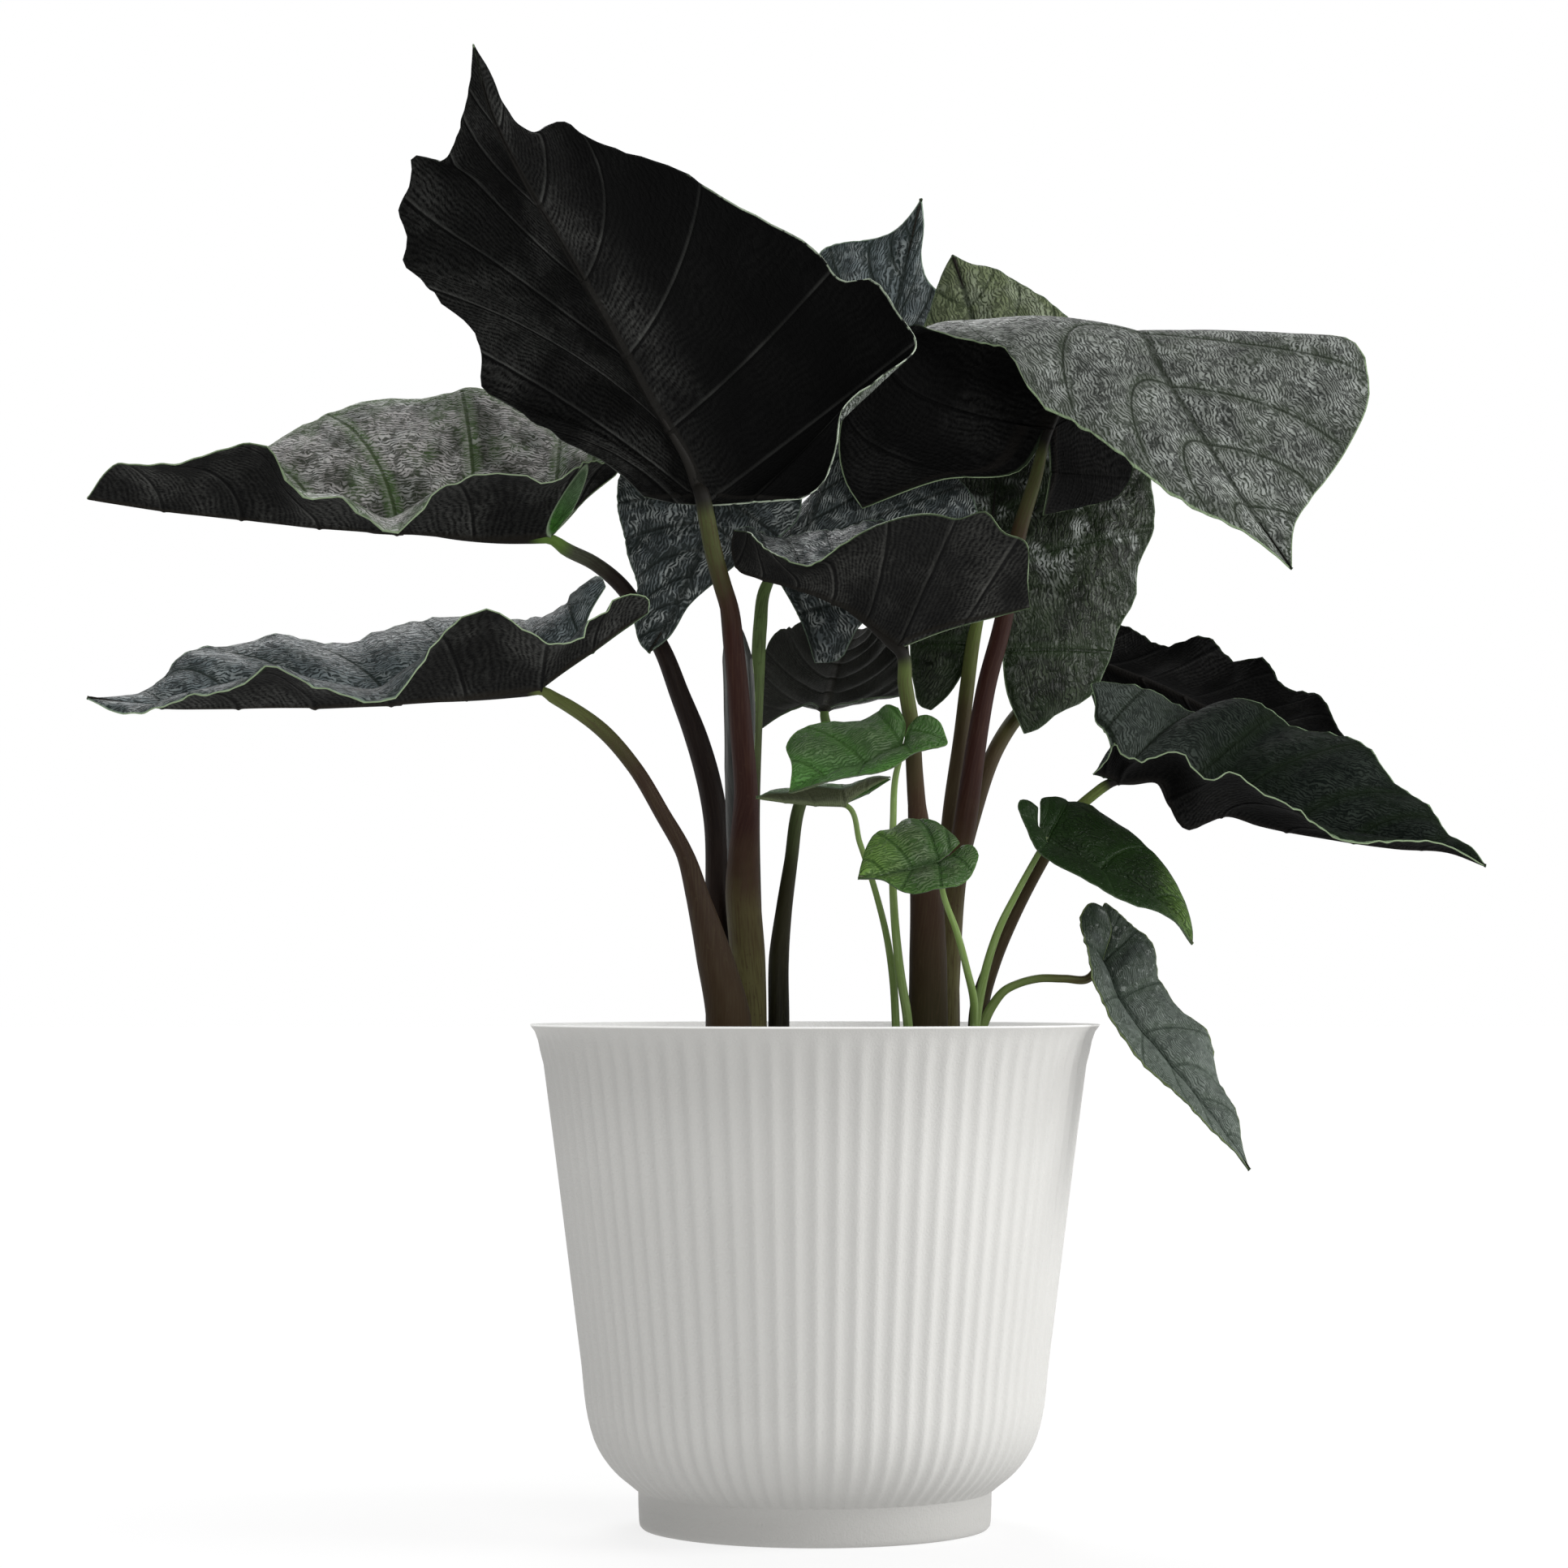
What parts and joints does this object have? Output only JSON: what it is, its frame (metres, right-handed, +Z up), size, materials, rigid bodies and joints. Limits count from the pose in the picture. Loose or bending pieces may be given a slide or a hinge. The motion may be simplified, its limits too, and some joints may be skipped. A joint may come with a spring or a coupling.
{
  "type": "potted alocasia",
  "caption": "Potted alocasia with large folded, waved arrow-head leaves on arching stalks, in a white fluted pot that stands on its flat foot.",
  "frame": {"origin": "middle of the pot's flat underside, on the surface that it stands on", "axes": "+Z up along the pot's axis, -Y towards the plant's front, +X to the right seen from the front"},
  "size_m": [0.5884, 0.24, 0.6064],
  "materials": {
    "pot": "white moulded plastic with a fine pebbled matte surface",
    "soil": "dark crumbly potting soil",
    "dark_leaf": "near-black velvety underside of a leaf, paler veins",
    "grey_leaf": "grey-green leaf with a silvery sheen and a raised net of veins",
    "blue_leaf": "blue-grey leaf with a silvery sheen",
    "young_leaf": "glossy green young leaf",
    "brown_stalk": "smooth dark red-brown leaf stalk, greener at its ends",
    "green_stalk": "smooth light green leaf stalk"
  },
  "bodies": {
    "root": {"pot": "pot", "soil": "soil", "blade_crest": "dark_leaf", "stalk_crest": "brown_stalk", "blade_upper_left": "grey_leaf", "stalk_upper_left": "brown_stalk", "blade_lower_left": "grey_leaf", "stalk_lower_left": "brown_stalk", "blade_upper_right": "grey_leaf", "stalk_upper_right": "brown_stalk", "blade_rear_top": "blue_leaf", "stalk_rear_top": "brown_stalk", "blade_rear_right": "grey_leaf", "stalk_rear_right": "brown_stalk", "blade_middle": "dark_leaf", "stalk_middle": "brown_stalk", "blade_rear_middle": "blue_leaf", "stalk_rear_middle": "brown_stalk", "blade_drooping": "dark_leaf", "stalk_drooping": "brown_stalk", "blade_rear_low": "dark_leaf", "stalk_rear_low": "brown_stalk", "blade_right": "grey_leaf", "stalk_right": "brown_stalk", "blade_right_rear": "dark_leaf", "stalk_right_rear": "brown_stalk", "blade_young_centre": "young_leaf", "stalk_young_centre": "green_stalk", "blade_young_left": "young_leaf", "stalk_young_left": "green_stalk", "blade_young_front": "young_leaf", "stalk_young_front": "green_stalk", "blade_young_right": "young_leaf", "stalk_young_right": "green_stalk", "blade_hanging": "grey_leaf", "stalk_hanging": "green_stalk", "furled_leaf": "green_stalk"}
  },
  "joints": []
}
